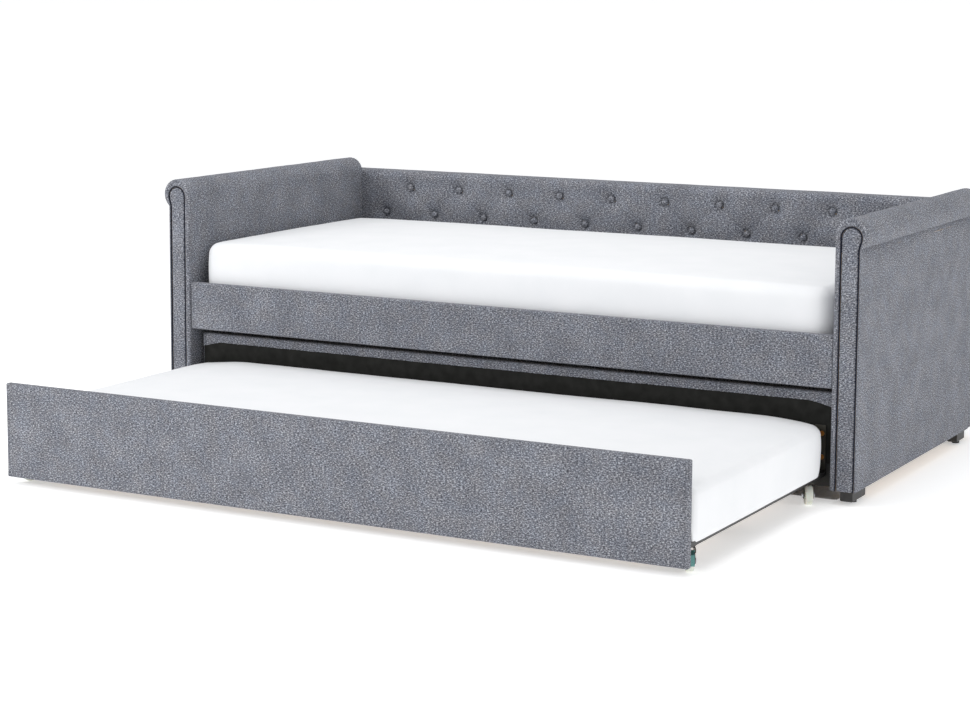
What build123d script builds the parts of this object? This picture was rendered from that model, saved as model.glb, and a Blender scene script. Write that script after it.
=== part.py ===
from build123d import *
import math
import os

# Upholstered daybed with rolled arms, a tufted back and a wheeled trundle bed under it.
# Millimetres, +Z up, +X to the sitter's right when seen from the front, +Y to the back.
# Inside this script Y = 0 is the plane of the arms' front faces. Every solid is moved at
# the end, so that the written parts have their origin at the bottom centre of the whole.

# ---- overall sizes -------------------------------------------------------------------
inner_length = 2040.0        # between the arms' inner faces
arm_depth = 1000.0           # arms, front to back
arm_thickness = 72.0         # straight part of an arm
overall_height = 756.0       # top of the arm rolls
back_height = 718.0          # top of the backrest
back_thickness = 75.0
upholstery_bottom = 38.0     # underside of arms and back above the floor
trundle_out = 874.0          # how far the trundle stands pulled out at rest

# ---- arms ----------------------------------------------------------------------------
roll_radius = 45.0
roll_core_radius = 30.0
arm_pad_thickness = 12.0     # foam and fabric on the inner face
arm_panel_thickness = 9.0    # plywood behind the pad
outer_panel_thickness = 4.0
front_border_depth = 8.0     # padding folded round the front edge
timber = 44.0                # width of every frame batten
seam_gap = 2.0               # between the outer panel's top and the roll
facing_left = 18.0           # facing's straight inner edge, from the arm's inner face
facing_outer_border = 9.0    # facing's straight outer edge, from the arm's outer face
facing_arch_radius = 26.0
facing_arch_drop = 6.0       # centre of the arch below the centre of the roll
facing_neck_drop = 33.0      # height over which the arch narrows to the straight part
piping_radius = 1.9
piping_channel = 4.2         # groove between facing and border

# ---- backrest ------------------------------------------------------------------------
back_pad_thickness = 13.0
back_panel_thickness = 9.0
back_wrap = 10.0             # padding folded over the top and the ends
back_cover_thickness = 5.0
button_diameter = 21.0
button_height = 9.0
button_rim = 3.0             # straight edge below the dome
button_end_gap = 92.5        # from an arm to the first button of the lower row
button_high_drop = 54.0      # upper row below the top of the backrest
button_row_pitch = 86.0
button_low_count = 11
dimple_depth = 7.0
dimple_radius = 13.0

# ---- front rail and slat base --------------------------------------------------------
rail_setback = 5.0
rail_bottom = 306.0
rail_height = 141.0
rail_board_thickness = 16.0
wrap_thickness = 4.0         # thin padding and fabric round rail and trundle boards
slat_thickness = 12.0
strap_thickness = 1.0
strap_width = 20.0
ledger_width = 30.0
ledger_height = 26.0
bed_slat_drop = 59.0         # top of the slats below the top of the front rail
bed_slat_width = 70.0
bed_slat_count = 14
bed_slat_end_gap = 23.0      # from an arm to the first slat
slat_end_play = 1.0
beam_width = 30.0
beam_height = 46.0
bracket_leg = 40.0
bracket_height = 40.0
bracket_thickness = 3.0
bracket_drop = 12.0          # top of the rail brackets below the top of the front rail
bolt_radius = 3.0
bolt_head_radius = 7.0
bolt_head_height = 4.0
bolt_clearance = 0.2
rail_bolt_length = 44.0
rail_bolt_offset = 22.0      # from the corner that the bracket stands in

# ---- mattresses ----------------------------------------------------------------------
# With the sizes above, both come out 2000 long, and 900 and 886 wide.
bed_mattress_height = 180.0
trundle_mattress_height = 139.0
mattress_end_gap = 20.0      # bed mattress to each arm
mattress_front_gap = 6.0     # bed mattress to the rail brackets
mattress_back_gap = 66.0     # bed mattress to the backrest
trundle_mattress_overhang = 6.0     # past the side rails' outer faces
trundle_mattress_gap = 9.0   # trundle mattress to each of its boards
mattress_corner_radius = 44.0
mattress_edge_radius = 28.0
soft_gap = 0.3               # under a mattress

# ---- feet ----------------------------------------------------------------------------
glide_radius = 11.0
glide_height = 8.0
foot_chamfer = 3.0
front_foot = (35.0, 100.0)   # width, depth
front_foot_inset = 12.0      # from the arm's outer face
front_foot_setback = 15.0
rear_foot = (30.0, 72.0)
rear_foot_inset = 9.0
rear_foot_setback = 8.0      # from the arm's rear end

# ---- trundle (its own Y = 0 is the front face of its front board) ---------------------
front_board_gap = 22.0       # from each end to the arm when pushed in
front_board_bottom = 20.0
front_board_headroom = 30.0  # below the front rail when pushed in
rear_board_gap = 13.0
rear_board_bottom = 97.0
rear_board_headroom = 17.0
trundle_back_gap = 56.0      # rear board to the backrest when pushed in
trundle_core = 15.0          # plywood in both boards
lining_thickness = 1.0
front_lip = 24.0             # fabric turned over the top edge on to the inner side
rear_lip = 27.0
lip_corner_run = 55.0        # where the turned edge is folded at the board's ends
lip_corner_drop = 16.0
rear_rail_gap = 8.0
rear_rail_bottom = 36.0
side_rail_inset = 4.0        # from the front board's ends
side_rail_width = 64.0
trundle_slat_width = 70.0
trundle_slat_count = 13
trundle_slat_end_gap = 55.0  # from a side rail to the first slat
trundle_ledger_width = 25.0
trundle_ledger_height = 22.0
centre_rail_width = 40.0
centre_rail_height = 26.0
centre_rail_seat = 8.0       # overlap under each side rail
corner_bracket_width = 30.0
corner_bracket_inset = 4.0   # from the side rail's outer face
corner_bracket_top = 200.0
corner_bracket_foot = 32.0
corner_bolt_heights = (115.0, 178.0)
corner_bolt_length = 15.0
corner_bolt_edge = 10.0      # from the bracket's outer edge

# ---- casters -------------------------------------------------------------------------
wheel_radius = 25.0
wheel_width = 20.0
wheel_groove = 1.2
wheel_headroom = 5.0         # between the wheel and the fork's crown
hub_radius = 9.0
hub_proud = 0.5              # how far the hub stands out on each side of the tread
hub_play = 1.0               # between the hub and each leg
axle_radius = 4.0
running_clearance = 0.05
caster_trail = 18.0
caster_inset = 29.0          # swivel axis from the side rail's outer face
front_caster_gap = 60.0      # swivel axis from the front board
rear_caster_gap = 62.0
caster_plate = 50.0
caster_plate_thickness = 2.5
caster_cup_radius = 20.0
caster_cup_height = 2.5
swivel_gap = 0.3
fork_race_radius = 17.0
fork_race_height = 3.7
fork_sheet = 2.0
fork_crown_length = 32.0
fork_eye_radius = 9.0
kingpin_radius = 4.0
kingpin_head_radius = 6.5
kingpin_head_height = 2.6
nut_radius = 6.5
nut_height = 4.0
# swivel angle of each caster at rest, from straight back towards +X
caster_yaw = {
    "front_left": -150.0,
    "front_right": 150.0,
    "rear_left": -24.0,
    "rear_right": 152.0,
}
# the brake lever's points: behind the wheel's axle, and above the wheel's top or the axle
lever_pivot_offset = (12.0, 1.0)
lever_knee_offset = (1.0, -6.0)     # the first behind the wheel's rim
lever_tip_offset = (7.0, -5.0)
lever_thickness = 2.0
lever_side_gap = 2.5         # to each leg of the fork
lever_ear_radius = 4.5
lever_pin_radius = 1.6

# ---- worked out ----------------------------------------------------------------------
hx = inner_length / 2
arm_outer = hx + arm_thickness
roll_height = overall_height - roll_radius
facing_right = arm_thickness - facing_outer_border
facing_arch_height = roll_height - facing_arch_drop
bed_back = arm_depth + back_thickness
panel_inner = arm_pad_thickness
panel_outer = arm_pad_thickness + arm_panel_thickness
frame_outer = arm_thickness - outer_panel_thickness
frame_top = roll_height - roll_radius - seam_gap
outer_face_top = roll_height - math.sqrt(roll_radius ** 2 - (frame_outer - roll_radius) ** 2)
core_y = arm_depth + back_pad_thickness
back_frame_y = core_y + back_panel_thickness
back_frame_end = bed_back - back_cover_thickness
back_core_half = arm_outer - back_wrap
back_core_top = back_height - back_wrap
button_high_row = back_height - button_high_drop
button_low_row = button_high_row - button_row_pitch
button_pitch = (inner_length - 2 * button_end_gap) / (button_low_count - 1)
rail_top = rail_bottom + rail_height
rail_inner = rail_setback + wrap_thickness + rail_board_thickness
bed_slat_top = rail_top - bed_slat_drop
bed_slat_bottom = bed_slat_top - slat_thickness
bed_slat_pitch = (inner_length - 2 * bed_slat_end_gap - bed_slat_width) / (bed_slat_count - 1)
bracket_bottom = rail_top - bracket_drop - bracket_height
bed_mattress_front = rail_inner + bracket_thickness + mattress_front_gap
bed_mattress = (
    inner_length - 2 * mattress_end_gap,
    arm_depth - mattress_back_gap - bed_mattress_front,
    bed_mattress_height,
)
trundle_y = -trundle_out
trundle_depth = arm_depth - trundle_back_gap
front_board_half = hx - front_board_gap
front_board_top = rail_bottom - front_board_headroom
rear_board_half = hx - rear_board_gap
rear_board_top = rail_bottom - rear_board_headroom
rear_rail_half = hx - rear_rail_gap
side_rail_outer = front_board_half - side_rail_inset
side_rail_inner = side_rail_outer - side_rail_width
corner_bracket_outer = side_rail_outer - corner_bracket_inset
board_inner = wrap_thickness + trundle_core + lining_thickness
rear_inner = trundle_depth - wrap_thickness - trundle_core - lining_thickness
caster_x = side_rail_outer - caster_inset
front_caster_y = board_inner + front_caster_gap
rear_caster_y = rear_inner - rear_caster_gap
hub_width = wheel_width + 2 * hub_proud
leg_inner = hub_width / 2 + hub_play
leg_outer = leg_inner + fork_sheet
crown_bottom = 2 * wheel_radius + wheel_headroom
crown_top = crown_bottom + fork_sheet
cup_bottom = crown_top + fork_race_height + swivel_gap
plate_top = cup_bottom + caster_cup_height + caster_plate_thickness
lever_pivot = (caster_trail + lever_pivot_offset[0], 2 * wheel_radius + lever_pivot_offset[1])
lever_knee = (caster_trail + wheel_radius + lever_knee_offset[0],
              2 * wheel_radius + lever_knee_offset[1])
lever_tip = (caster_trail + wheel_radius + lever_tip_offset[0],
             wheel_radius + lever_tip_offset[1])
lever_width = 2 * (leg_inner - lever_side_gap)
trundle_slat_bottom = plate_top
trundle_slat_top = trundle_slat_bottom + slat_thickness
trundle_slat_reach = side_rail_inner - trundle_slat_end_gap
trundle_slat_pitch = (2 * trundle_slat_reach - trundle_slat_width) / (trundle_slat_count - 1)
trundle_mattress = (
    2 * (side_rail_outer + trundle_mattress_overhang),
    rear_inner - board_inner - 2 * trundle_mattress_gap,
    trundle_mattress_height,
)
origin_y = (trundle_y + bed_back) / 2


# ---- helpers -------------------------------------------------------------------------
def block(x0, x1, y0, y1, z0, z1):
    """A box given by its two limits along each axis."""
    size = Box(x1 - x0, y1 - y0, z1 - z0)
    return Pos((x0 + x1) / 2, (y0 + y1) / 2, (z0 + z1) / 2) * size


def rod(x, y, z, radius, length, direction):
    """A cylinder that starts at a point and runs along a direction."""
    plane = Plane(origin=(x, y, z), z_dir=direction)
    return extrude(plane * Circle(radius), length)


def to_left(shape):
    """The mirror image across the middle of the bed's length."""
    return mirror(shape, about=Plane.YZ)


def both_sides(shapes):
    """The given right-hand solids and their mirror images."""
    return list(shapes) + [to_left(s) for s in shapes]


def write(name, shapes, y_shift=0.0):
    """One STEP file for a node, moved to the object's own origin."""
    items = shapes if isinstance(shapes, list) else [shapes]
    solids = [s for item in items for s in item.solids()]
    moved = [Pos(0, y_shift - origin_y, 0) * s for s in solids]
    whole = moved[0] if len(moved) == 1 else Compound(children=moved)
    export_step(whole, f"parts/{name}.step")


# ---- arms ----------------------------------------------------------------------------
def keyhole_edges(offset, bottom):
    """The facing's outline in X and Z, grown by an offset: straight, arched, then necked in."""
    left = hx + facing_left - offset
    centre = hx + facing_left + facing_arch_radius
    radius = facing_arch_radius + offset
    wide = centre + radius
    narrow = hx + facing_right + offset
    neck = facing_arch_height - facing_neck_drop
    middle = ((wide + narrow) / 2, (facing_arch_height + neck) / 2)
    width = wide - narrow
    bend = (width ** 2 + facing_neck_drop ** 2) / (4 * width)
    sag = bend * (1 - math.cos(math.asin(facing_neck_drop / 2 / bend) / 2))
    rise = bend * math.sin(math.asin(facing_neck_drop / 2 / bend) / 2)
    return [
        Line((left, bottom), (left, facing_arch_height)),
        ThreePointArc((left, facing_arch_height), (centre, facing_arch_height + radius),
                      (wide, facing_arch_height)),
        ThreePointArc((wide, facing_arch_height), (wide - sag, facing_arch_height - rise), middle),
        ThreePointArc(middle, (narrow + sag, neck + rise), (narrow, neck)),
        Line((narrow, neck), (narrow, bottom)),
    ]


def keyhole_face(offset, bottom):
    """The facing's outline closed along its bottom edge."""
    edges = keyhole_edges(offset, bottom)
    closing = Line(edges[-1] @ 1, edges[0] @ 0)
    return make_face(edges + [closing])


def front_extrusion(face, y0, y1):
    """A shape drawn in X and Z, given depth from y0 back to y1."""
    plane = Plane(origin=(0, y0, 0), x_dir=(1, 0, 0), z_dir=(0, -1, 0))
    return extrude(plane * face, -(y1 - y0))


def disc(x, z, radius):
    return Pos(x, z) * Circle(radius)


def strip(x0, x1, z0, z1):
    return Pos((x0 + x1) / 2, (z0 + z1) / 2) * Rectangle(x1 - x0, z1 - z0)


def arm_cover(bolts):
    """Inner pad, padded roll and the padding folded round the front edge, in one piece."""
    roll = disc(hx + roll_radius, roll_height, roll_radius)
    pad = strip(hx, hx + arm_pad_thickness, upholstery_bottom, roll_height)
    core = disc(hx + roll_radius, roll_height, roll_core_radius)
    side = front_extrusion((roll + pad) - core, front_border_depth, arm_depth)
    slab = strip(hx, hx + arm_thickness, upholstery_bottom, roll_height)
    opening = keyhole_face(piping_channel, upholstery_bottom - 1)
    border = front_extrusion((roll + slab) - opening, 0, front_border_depth)
    return side + border - bolts


def arm_piping():
    """The piping cord that runs up, over and down round the facing."""
    plane = Plane(origin=(0, 0, 0), x_dir=(1, 0, 0), z_dir=(0, -1, 0))
    edges = keyhole_edges(piping_channel / 2, upholstery_bottom)
    path = plane * Wire(edges)
    start = path @ 0
    section = Plane(origin=start, z_dir=path % 0) * Circle(piping_radius)
    return sweep(section, path=path)


def arm_frame(bolts):
    """Two posts and two rails that stiffen one arm."""
    x0 = hx + panel_outer
    x1 = hx + frame_outer
    front = front_border_depth
    posts = [
        block(x0, x1, front, front + timber, upholstery_bottom, frame_top),
        block(x0, x1, arm_depth - timber, arm_depth, upholstery_bottom, frame_top),
    ]
    rails = [
        block(x0, x1, front + timber, arm_depth - timber, upholstery_bottom, upholstery_bottom + timber),
        block(x0, x1, front + timber, arm_depth - timber, frame_top - timber, frame_top),
    ]
    return [posts[0] - bolts, posts[1] - bolts] + rails


def arm_panel(bolts):
    """Plywood between the inner pad and the frame."""
    x0 = hx + panel_inner
    return block(x0, hx + panel_outer, front_border_depth, arm_depth, upholstery_bottom, frame_top) - bolts


def outer_panel():
    """Fabric-covered board on the arm's outer face."""
    x0 = hx + frame_outer
    top = outer_face_top - seam_gap
    return block(x0, arm_outer, front_border_depth, arm_depth, upholstery_bottom, top)


def roll_core():
    x = hx + roll_radius
    length = arm_depth - front_border_depth
    return rod(x, front_border_depth, roll_height, roll_core_radius, length, (0, 1, 0))


def write_arms(bolt_holes):
    pieces = {
        "arm_cover": arm_cover(bolt_holes),
        "arm_facing": front_extrusion(keyhole_face(0, upholstery_bottom), 1.0, front_border_depth),
        "arm_piping": arm_piping(),
        "arm_panel": arm_panel(bolt_holes),
        "arm_outer_panel": outer_panel(),
    }
    for name, shape in pieces.items():
        write("right_" + name, shape)
        write("left_" + name, to_left(shape))
    frame = arm_frame(bolt_holes)
    write("right_arm_frame", frame)
    write("left_arm_frame", [to_left(s) for s in frame])
    write("arm_roll_cores", both_sides([roll_core()]))


# ---- backrest ------------------------------------------------------------------------
def button_places():
    """Centres of the tufting buttons in X and Z: two rows, the upper one staggered."""
    first = -(button_low_count - 1) / 2 * button_pitch
    low = [(first + i * button_pitch, button_low_row) for i in range(button_low_count)]
    high = [(x + button_pitch / 2, button_high_row) for x, _ in low[:-1]]
    return low + high


def button(x, z):
    """A covered button: a short disc with a domed front, seated on its dimple's floor."""
    radius = button_diameter / 2
    dome = button_height - button_rim
    ball = (radius ** 2 + dome ** 2) / (2 * dome)
    cap = Pos(0, 0, button_height - ball) * Sphere(ball)
    cap &= Pos(0, 0, button_rim + dome / 2) * Cylinder(radius, dome)
    body = Pos(0, 0, button_rim / 2) * Cylinder(radius, button_rim)
    return Pos(x, arm_depth + dimple_depth, z) * Rot(90, 0, 0) * (body + cap)


def back_pad():
    """Front padding folded over the top edge and both ends, with a dimple at each button."""
    outer = block(-arm_outer, arm_outer, arm_depth, back_frame_end, upholstery_bottom, back_height)
    core = block(-back_core_half, back_core_half, core_y, bed_back, 0, back_core_top)
    pad = outer - core
    dimples = [rod(x, arm_depth - 1, z, dimple_radius, dimple_depth + 1, (0, 1, 0))
               for x, z in button_places()]
    return pad - dimples


def back_panel():
    return block(-back_core_half, back_core_half, core_y, back_frame_y,
                 upholstery_bottom, back_core_top)


def back_frame():
    """Top and bottom rails with four posts between them."""
    y0 = back_frame_y
    y1 = back_frame_end
    low = upholstery_bottom
    high = back_core_top
    rails = [
        block(-back_core_half, back_core_half, y0, y1, low, low + timber),
        block(-back_core_half, back_core_half, y0, y1, high - timber, high),
    ]
    reach = back_core_half - timber / 2
    posts = [block(x - timber / 2, x + timber / 2, y0, y1, low + timber, high - timber)
             for x in (-reach, -reach / 3, reach / 3, reach)]
    return rails + posts


def write_backrest():
    write("backrest_pad", back_pad())
    write("backrest_panel", back_panel())
    write("backrest_frame", back_frame())
    write("backrest_rear_cover", block(-arm_outer, arm_outer, back_frame_end, bed_back,
                                       upholstery_bottom, back_height))
    write("backrest_buttons", [button(x, z) for x, z in button_places()])


# ---- front rail, slat base and feet ----------------------------------------------------
def rail_cover():
    """Padding and fabric folded round the rail board, open at the back."""
    outer = block(-hx, hx, rail_setback, rail_inner, rail_bottom, rail_top)
    return outer - rail_board()


def rail_board():
    return block(-hx + wrap_thickness, hx - wrap_thickness, rail_setback + wrap_thickness,
                 rail_inner, rail_bottom + wrap_thickness, rail_top - wrap_thickness)


def rail_bolt_places():
    """Where the rail brackets' bolts enter the right arm: Y and Z."""
    height = bracket_bottom + bracket_height / 2
    return [(rail_inner + rail_bolt_offset, height), (arm_depth - rail_bolt_offset, height)]


def rail_bolt(y, z, radius_extra=0.0):
    """A flat-headed bolt driven outward through the bracket into the arm."""
    face = hx - bracket_thickness
    shank = rod(face, y, z, bolt_radius + radius_extra, rail_bolt_length + radius_extra, (1, 0, 0))
    if radius_extra:
        return shank
    head = rod(face - bolt_head_height, y, z, bolt_head_radius, bolt_head_height, (1, 0, 0))
    return head + shank


def rail_bracket(y_face, away):
    """An angle bracket in the corner between the right arm and a board across the bed."""
    t = bracket_thickness
    top = bracket_bottom + bracket_height
    reach = y_face + away * bracket_leg
    on_arm = block(hx - t, hx, min(y_face, reach), max(y_face, reach), bracket_bottom, top)
    end = y_face + away * t
    on_board = block(hx - bracket_leg, hx, min(y_face, end), max(y_face, end), bracket_bottom, top)
    return on_arm + on_board


def write_slat_base():
    holes = [rail_bolt(y, z, bolt_clearance) for y, z in rail_bolt_places()]
    brackets = [rail_bracket(rail_inner, 1) - holes, rail_bracket(arm_depth, -1) - holes]
    write("front_rail_cover", rail_cover())
    write("front_rail_board", rail_board())
    write("rail_brackets", both_sides(brackets))
    write("rail_bolts", both_sides([rail_bolt(y, z) for y, z in rail_bolt_places()]))
    low = bed_slat_bottom - ledger_height
    write("slat_ledgers", [
        block(-hx + bracket_leg, hx - bracket_leg, rail_inner, rail_inner + ledger_width,
              low, bed_slat_bottom),
        block(-hx + bracket_leg, hx - bracket_leg, arm_depth - ledger_width, arm_depth,
              low, bed_slat_bottom),
    ])
    middle = (rail_inner + arm_depth) / 2
    write("centre_beam", block(-hx, hx, middle - beam_width / 2, middle + beam_width / 2,
                               bed_slat_bottom - beam_height, bed_slat_bottom))
    write("bed_slats", slats(bed_slat_count, bed_slat_pitch, bed_slat_width,
                             rail_inner, arm_depth, bed_slat_bottom))
    write("bed_slat_straps", straps(bed_slat_count, bed_slat_pitch, rail_inner, arm_depth,
                                    bed_slat_top))


def slats(count, pitch, width, y0, y1, bottom):
    """Evenly spaced slats across the bed, with a little end play."""
    first = -(count - 1) / 2 * pitch
    return [block(first + i * pitch - width / 2, first + i * pitch + width / 2,
                  y0 + slat_end_play, y1 - slat_end_play, bottom, bottom + slat_thickness)
            for i in range(count)]


def straps(count, pitch, y0, y1, bottom):
    """Two webbing straps that keep the slats at their spacing."""
    half = (count - 1) / 2 * pitch
    depth = y1 - y0
    return [block(-half, half, y - strap_width / 2, y + strap_width / 2,
                  bottom, bottom + strap_thickness)
            for y in (y0 + depth / 4, y1 - depth / 4)]


def mattress(size, y0, bottom):
    """A mattress with rounded corners and soft top and bottom edges."""
    length, width, height = size
    outline = RectangleRounded(length, width, mattress_corner_radius)
    body = extrude(Pos(0, y0 + width / 2, bottom) * outline, height)
    edges = body.edges().group_by(Axis.Z)
    return fillet(edges[0] + edges[-1], mattress_edge_radius)


def foot(size, inset, y0):
    """A block foot under the arm, its lower edges chamfered."""
    width, depth = size
    x1 = arm_outer - inset
    body = block(x1 - width, x1, y0, y0 + depth, glide_height, upholstery_bottom)
    return chamfer(body.edges().group_by(Axis.Z)[0], foot_chamfer)


def glide(size, inset, y0):
    width, depth = size
    x = arm_outer - inset - width / 2
    return rod(x, y0 + depth / 2, 0, glide_radius, glide_height, (0, 0, 1))


def write_feet():
    front_y = front_foot_setback
    rear_y = arm_depth - rear_foot_setback - rear_foot[1]
    places = [(front_foot, front_foot_inset, front_y), (rear_foot, rear_foot_inset, rear_y)]
    write("feet", both_sides([foot(*place) for place in places]))
    write("foot_glides", both_sides([glide(*place) for place in places]))


# ---- trundle boards and base -----------------------------------------------------------
def front_board_pieces():
    """Core, folded cover and inner lining of the trundle's front board."""
    t = wrap_thickness
    half = front_board_half
    y1 = t + trundle_core
    core = block(-half + t, half - t, t, y1, front_board_bottom + t, front_board_top - t)
    lining = block(-half + t, half - t, y1, board_inner, front_board_bottom + t,
                   front_board_top - front_lip)
    outer = block(-half, half, 0, board_inner, front_board_bottom, front_board_top)
    return core, outer - core - lining, lining


def rear_board_pieces():
    """Core, folded cover and inner lining of the trundle's rear board."""
    t = wrap_thickness
    half = rear_board_half
    y0 = rear_inner + lining_thickness
    top = rear_board_top - rear_lip
    core = block(-half + t, half - t, y0, y0 + trundle_core, rear_board_bottom, rear_board_top - t)
    wide = half - t
    low = top - lip_corner_drop
    corner = wide - lip_corner_run
    outline = Polyline((-wide, rear_board_bottom), (wide, rear_board_bottom), (wide, low),
                       (corner, top), (-corner, top), (-wide, low), close=True)
    lining = front_extrusion(make_face(outline), rear_inner, y0)
    outer = block(-half, half, rear_inner, trundle_depth, rear_board_bottom, rear_board_top)
    return core, outer - core - lining, lining


def corner_bolt_places():
    return [(corner_bracket_outer - corner_bolt_edge, z) for z in corner_bolt_heights]


def corner_bolt(x, z, face, direction, radius_extra=0.0):
    """A bolt through a corner bracket into a trundle board; direction is +1 to the back."""
    y = face - direction * bracket_thickness
    length = corner_bolt_length + radius_extra
    shank = rod(x, y, z, bolt_radius + radius_extra, length, (0, direction, 0))
    if radius_extra:
        return shank
    head_y = y - direction * bolt_head_height
    return shank + rod(x, head_y, z, bolt_head_radius, bolt_head_height, (0, direction, 0))


def corner_bracket(face, direction):
    """An angle that ties a side rail to a board: a tall leg and a foot under the rail."""
    t = bracket_thickness
    x0 = corner_bracket_outer - corner_bracket_width
    inside = face - direction * t
    leg = block(x0, corner_bracket_outer, min(face, inside), max(face, inside),
                trundle_slat_bottom - t, corner_bracket_top)
    toe = face - direction * corner_bracket_foot
    under = block(x0, corner_bracket_outer, min(face, toe), max(face, toe),
                  trundle_slat_bottom - t, trundle_slat_bottom)
    return leg + under


def write_trundle_boards():
    faces = [(board_inner, -1), (rear_inner, 1)]
    bolts = []
    holes = []
    brackets = []
    for face, direction in faces:
        drilled = [corner_bolt(x, z, face, direction, bolt_clearance)
                   for x, z in corner_bolt_places()]
        holes += both_sides(drilled)
        bolts += [corner_bolt(x, z, face, direction) for x, z in corner_bolt_places()]
        brackets.append(corner_bracket(face, direction) - drilled)
    for name, pieces in (("front", front_board_pieces()), ("rear", rear_board_pieces())):
        core, cover, lining = pieces
        write(f"trundle_{name}_board", core - holes, trundle_y)
        write(f"trundle_{name}_cover", cover, trundle_y)
        write(f"trundle_{name}_lining", lining - holes, trundle_y)
    write("trundle_corner_brackets", both_sides(brackets), trundle_y)
    write("trundle_corner_bolts", both_sides(bolts), trundle_y)


def write_trundle_base():
    y0 = board_inner
    y1 = rear_inner
    write("trundle_rear_rail", block(-rear_rail_half, rear_rail_half, y1, trundle_depth,
                                     rear_rail_bottom, rear_board_bottom), trundle_y)
    t = bracket_thickness
    side = block(side_rail_inner, side_rail_outer, y0 + t, y1 - t,
                 trundle_slat_bottom, trundle_slat_top)
    write("trundle_side_rails", both_sides([side]), trundle_y)
    span = trundle_slat_reach
    low = trundle_slat_bottom - trundle_ledger_height
    write("trundle_ledgers", [
        block(-span, span, y0, y0 + trundle_ledger_width, low, trundle_slat_bottom),
        block(-span, span, y1 - trundle_ledger_width, y1, low, trundle_slat_bottom),
    ], trundle_y)
    middle = (y0 + y1) / 2
    reach = side_rail_inner + centre_rail_seat
    write("trundle_centre_rail", block(
        -reach, reach, middle - centre_rail_width / 2, middle + centre_rail_width / 2,
        trundle_slat_bottom - centre_rail_height, trundle_slat_bottom), trundle_y)
    write("trundle_slats", slats(trundle_slat_count, trundle_slat_pitch, trundle_slat_width,
                                 y0, y1, trundle_slat_bottom), trundle_y)
    write("trundle_slat_straps", straps(trundle_slat_count, trundle_slat_pitch, y0, y1,
                                        trundle_slat_top), trundle_y)
    bottom = trundle_slat_top + strap_thickness + soft_gap
    write("trundle_mattress", mattress(trundle_mattress, y0 + trundle_mattress_gap, bottom),
          trundle_y)


# ---- casters ---------------------------------------------------------------------------
# Each caster is drawn with its swivel axis on Z and its trail along +X, then turned and
# moved to its place under a side rail.
def fork():
    """Pressed fork: crown, two legs that reach back to the axle, and the upper ball race."""
    half = fork_crown_length / 2
    crown = block(-half, half, -leg_outer, leg_outer, crown_bottom, crown_top)
    race = rod(0, 0, crown_top, fork_race_radius, fork_race_height, (0, 0, 1))
    leg = Polyline((-half, crown_bottom), (half, crown_bottom),
                   (caster_trail + fork_eye_radius, wheel_radius),
                   (caster_trail - fork_eye_radius, wheel_radius), close=True)
    eye = Pos(caster_trail, wheel_radius) * Circle(fork_eye_radius)
    side = make_face(leg) + eye
    legs = [leg_plate(side, y) for y in (-leg_outer, leg_inner)]
    bored = crown + race + legs
    bored -= rod(0, 0, crown_bottom - 1, kingpin_radius + running_clearance, 12, (0, 0, 1))
    bored -= cross_pin(caster_trail, wheel_radius, axle_radius + running_clearance)
    return bored


def leg_plate(face, y):
    """A plate of sheet thickness drawn in X and Z, starting at y."""
    plane = Plane(origin=(0, y, 0), x_dir=(1, 0, 0), z_dir=(0, -1, 0))
    return extrude(plane * face, -fork_sheet)


def cross_pin(x, z, radius):
    """A cylinder across the whole fork."""
    half = leg_outer + 1.0
    return rod(x, -half, z, radius, 2 * half, (0, 1, 0))


def braked_fork():
    """The front forks have two ears behind the crown that carry the brake lever's pin."""
    x, z = lever_pivot
    low = z - lever_ear_radius + 1.0
    ear = Pos(x, z) * Circle(lever_ear_radius) + strip(fork_crown_length / 2 - 4.0, x, low, crown_top)
    ears = [leg_plate(ear, y) for y in (-leg_outer, leg_inner)]
    return fork() + ears - cross_pin(x, z, lever_pin_radius + running_clearance)


def wheel():
    """Nylon wheel: tread with a shallow web on each side and a hub that runs on the axle."""
    half = wheel_width / 2
    tyre = Pos(0, 0) * (Circle(wheel_radius) - Circle(axle_radius + running_clearance))
    body = extrude(tyre, half, both=True)
    body = fillet(body.edges().filter_by(GeomType.CIRCLE).group_by(SortBy.RADIUS)[-1], 2.5)
    recess = Circle(wheel_radius - 6.0) - Circle(hub_radius)
    for side in (1, -1):
        body -= extrude(Pos(0, 0, side * (half - wheel_groove)) * recess, side * (wheel_groove + 1))
    hub = extrude(Circle(hub_radius) - Circle(axle_radius + running_clearance), hub_width / 2, both=True)
    standing = Rot(90, 0, 0) * (body + hub)
    return Pos(caster_trail, 0, wheel_radius) * standing


def axle():
    """Axle bolt with a round head on one side and a hexagonal nut on the other."""
    shank = rod(caster_trail, -leg_outer, wheel_radius, axle_radius, 2 * leg_outer, (0, 1, 0))
    head = rod(caster_trail, leg_outer, wheel_radius, nut_radius, nut_height * 0.6, (0, 1, 0))
    face = Plane(origin=(caster_trail, -leg_outer - nut_height, wheel_radius), z_dir=(0, 1, 0))
    nut = extrude(face * RegularPolygon(nut_radius, 6), nut_height)
    return shank + head + nut


def brake_lever():
    """A bent pedal behind the wheel on a cross pin between the fork's ears."""
    a, b, c = lever_pivot, lever_knee, lever_tip
    bent = Polyline(a, b, c)
    outline = offset(bent, lever_thickness / 2, side=Side.BOTH)
    plane = Plane(origin=(0, -lever_width / 2, 0), x_dir=(1, 0, 0), z_dir=(0, -1, 0))
    pedal = extrude(plane * make_face(outline), -lever_width)
    pin = rod(a[0], -leg_outer, a[1], lever_pin_radius, 2 * leg_outer, (0, 1, 0))
    return pedal + pin


def plate_and_cup():
    """Mounting plate with the fixed half of the ball race under it."""
    half = caster_plate / 2
    low = plate_top - caster_plate_thickness
    plate = block(-half, half, -half, half, low, plate_top)
    cup = rod(0, 0, cup_bottom, caster_cup_radius, caster_cup_height, (0, 0, 1))
    return plate + cup - rod(0, 0, cup_bottom - 1, kingpin_radius + running_clearance, 20, (0, 0, 1))


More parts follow.
